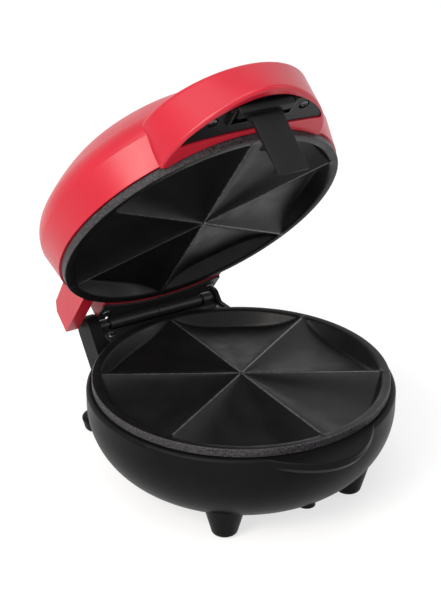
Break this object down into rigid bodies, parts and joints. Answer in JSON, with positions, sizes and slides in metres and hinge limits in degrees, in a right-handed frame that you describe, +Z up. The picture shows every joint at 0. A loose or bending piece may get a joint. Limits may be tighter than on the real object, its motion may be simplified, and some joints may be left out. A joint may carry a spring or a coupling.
{
  "type": "quesadilla maker",
  "caption": "Round countertop cooker, open: black footed base and red domed lid, each with a cast plate of wedge wells, joined by a rear hinge; front handle with a swinging latch strap.",
  "frame": {"origin": "centre of the footprint of the box round the whole cooker with its lid standing open, on the plane the feet stand on", "axes": "+X along the hinge pin, to the right as seen from the handle; +Y to the back, where the hinge is; +Z up"},
  "size_m": [0.2314, 0.2887, 0.3235],
  "materials": {
    "base_plastic": "moulded, fine satin, near black",
    "lid_plastic": "moulded, glossy red",
    "trim_plastic": "moulded, satin black",
    "latch_plastic": "moulded, fine grained black",
    "nonstick": "cast, with a dark satin non-stick coat",
    "foot_rubber": "moulded, dull",
    "element_steel": "drawn tube, heat-dulled",
    "reflector_sheet": "pressed sheet, bright",
    "hinge_metal": "pressed and rolled, satin black paint",
    "pin_steel": "drawn, bright",
    "screw_steel": "dark zinc plate",
    "part_steel": "stamped, plated",
    "block_ceramic": "unglazed",
    "gland_rubber": "moulded, satin",
    "lamp_glass": "clear envelope",
    "plate_plastic": "moulded, plain",
    "red_lens": "clear red, polished",
    "green_lens": "clear green, polished"
  },
  "bodies": {
    "base": {"base_housing": "base_plastic", "foot_pads": "foot_rubber", "base_cover": "base_plastic", "cover_screws": "screw_steel", "cord_gland": "gland_rubber", "terminal_block": "block_ceramic", "lower_plate": "nonstick", "lower_plate_screws": "screw_steel", "lower_element": "element_steel", "lower_reflector": "reflector_sheet", "thermostat": "part_steel", "thermal_fuse": "part_steel", "hinge_bracket": "hinge_metal", "hinge_base_screws": "screw_steel", "hinge_pin": "pin_steel"},
    "lid": {"lid_shell": "lid_plastic", "upper_plate": "nonstick", "upper_plate_screws": "screw_steel", "upper_element": "element_steel", "upper_reflector": "reflector_sheet", "lid_hinge_leaf": "hinge_metal", "hinge_lid_screws": "screw_steel", "handle_insert": "trim_plastic", "handle_screws": "screw_steel", "latch_pin": "pin_steel", "power_lens": "red_lens", "ready_lens": "green_lens", "indicator_lamps": "lamp_glass", "lamp_plate": "plate_plastic"},
    "latch": {"latch": "latch_plastic"}
  },
  "joints": [
    {"name": "lid_hinge", "type": "hinge", "parent": "base", "child": "lid", "pos_m": [0, 0.11564, 0.0803], "axis": [1, 0, 0], "range_deg": [-46, 52]},
    {"name": "latch_pivot", "type": "hinge", "parent": "lid", "child": "latch", "pos_m": [0, -0.03808, 0.30093], "axis": [1, 0, 0], "range_deg": [-25, 0]}
  ]
}
